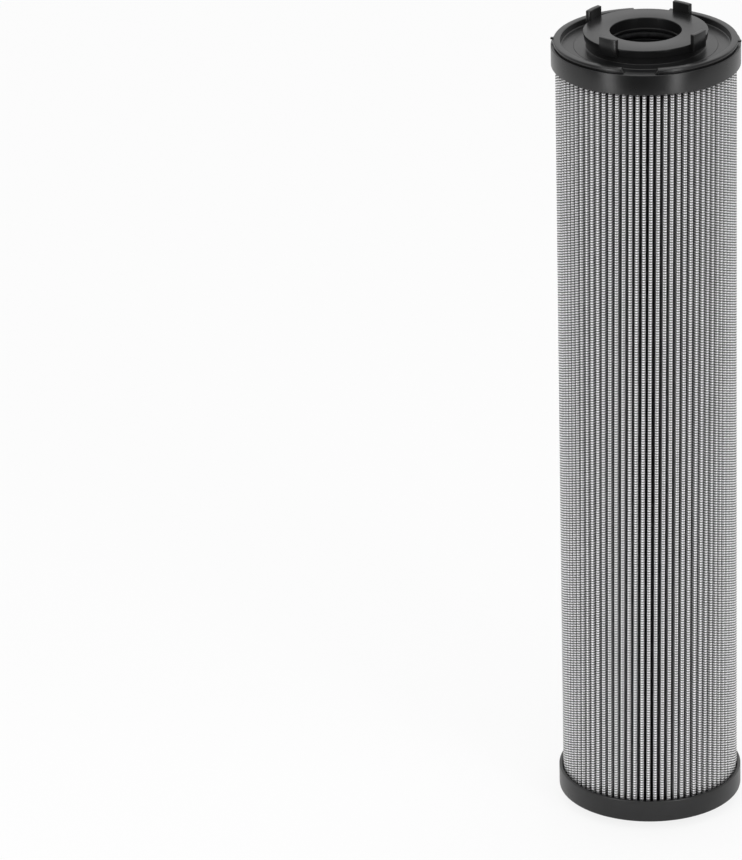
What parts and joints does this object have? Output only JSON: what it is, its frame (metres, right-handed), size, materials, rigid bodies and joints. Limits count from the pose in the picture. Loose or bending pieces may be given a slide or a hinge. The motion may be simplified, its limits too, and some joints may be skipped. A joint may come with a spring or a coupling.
{
  "type": "hydraulic filter element",
  "caption": "Pleated return line filter element: a star-folded wire mesh pack between two black end caps, with a plain bore for a spigot at each end.",
  "frame": {"origin": "centre of the round boss's face under the bottom cap", "axes": "+Z along the element's axis, from the bottom cap to the top cap"},
  "size_m": [0.0704, 0.07, 0.3162],
  "materials": {
    "cap_plastic": "satin black moulded plastic",
    "seal_rubber": "smooth black rubber",
    "tube_steel": "zinc plated sheet steel",
    "mesh_steel": "bright woven wire cloth",
    "fleece": "thin white fleece",
    "glass_fibre": "fine glass fibre paper",
    "adhesive": "cured black adhesive"
  },
  "bodies": {
    "root": {"top_end_cap": "cap_plastic", "bottom_end_cap": "cap_plastic", "top_seal_ring": "seal_rubber", "bottom_seal_ring": "seal_rubber", "perforated_tube": "tube_steel", "outer_wire_mesh": "mesh_steel", "cover_fleece": "fleece", "glass_fibre_layer": "glass_fibre", "backing_fleece": "fleece", "inner_wire_mesh": "mesh_steel", "side_seam": "adhesive", "top_adhesive": "adhesive", "bottom_adhesive": "adhesive"}
  },
  "joints": []
}
